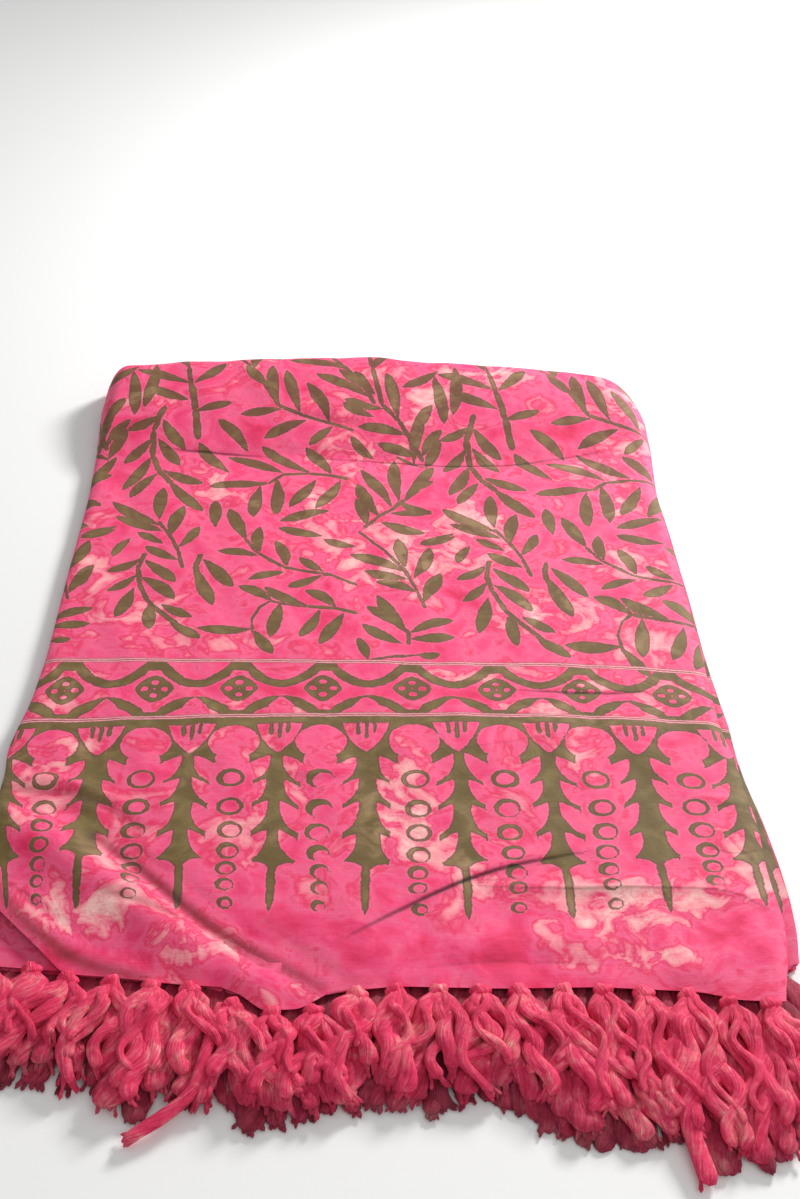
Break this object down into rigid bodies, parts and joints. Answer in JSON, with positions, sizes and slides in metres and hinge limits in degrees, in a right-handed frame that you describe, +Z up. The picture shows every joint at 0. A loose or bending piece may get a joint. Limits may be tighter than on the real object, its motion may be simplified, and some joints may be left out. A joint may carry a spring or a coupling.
{
  "type": "folded sarong",
  "caption": "Batik sarong folded in four and lying flat, with a soft rolled fold at the far end, open selvedges on one side and a knotted fringe along the near hem.",
  "frame": {"origin": "on the underside, in the plane that the folded cloth rests on, midway across its width and under the printed band; the near hem lies about 325 mm towards -Y", "axes": "+Y up the length of the cloth from the fringe to the rolled far fold, +X from the long fold to the open selvedges, +Z up from the surface it rests on"},
  "size_m": [0.5856, 0.9421, 0.0445],
  "materials": {
    "top_cloth": "matt",
    "lower_cloth": "matt",
    "fringe": "soft sheen"
  },
  "bodies": {
    "root": {"top_layer": "top_cloth", "folded_layers": "lower_cloth", "lower_fringe_1": "fringe", "lower_fringe_2": "fringe", "lower_fringe_3": "fringe", "lower_fringe_4": "fringe", "lower_fringe_5": "fringe", "tassel_01": "fringe", "tassel_02": "fringe", "tassel_03": "fringe", "tassel_04": "fringe", "tassel_05": "fringe", "tassel_06": "fringe", "tassel_07": "fringe", "tassel_08": "fringe", "tassel_09": "fringe", "tassel_10": "fringe", "tassel_11": "fringe", "tassel_12": "fringe", "tassel_13": "fringe", "tassel_14": "fringe", "tassel_15": "fringe", "tassel_16": "fringe", "tassel_17": "fringe", "tassel_18": "fringe", "tassel_19": "fringe", "tassel_20": "fringe"}
  },
  "joints": []
}
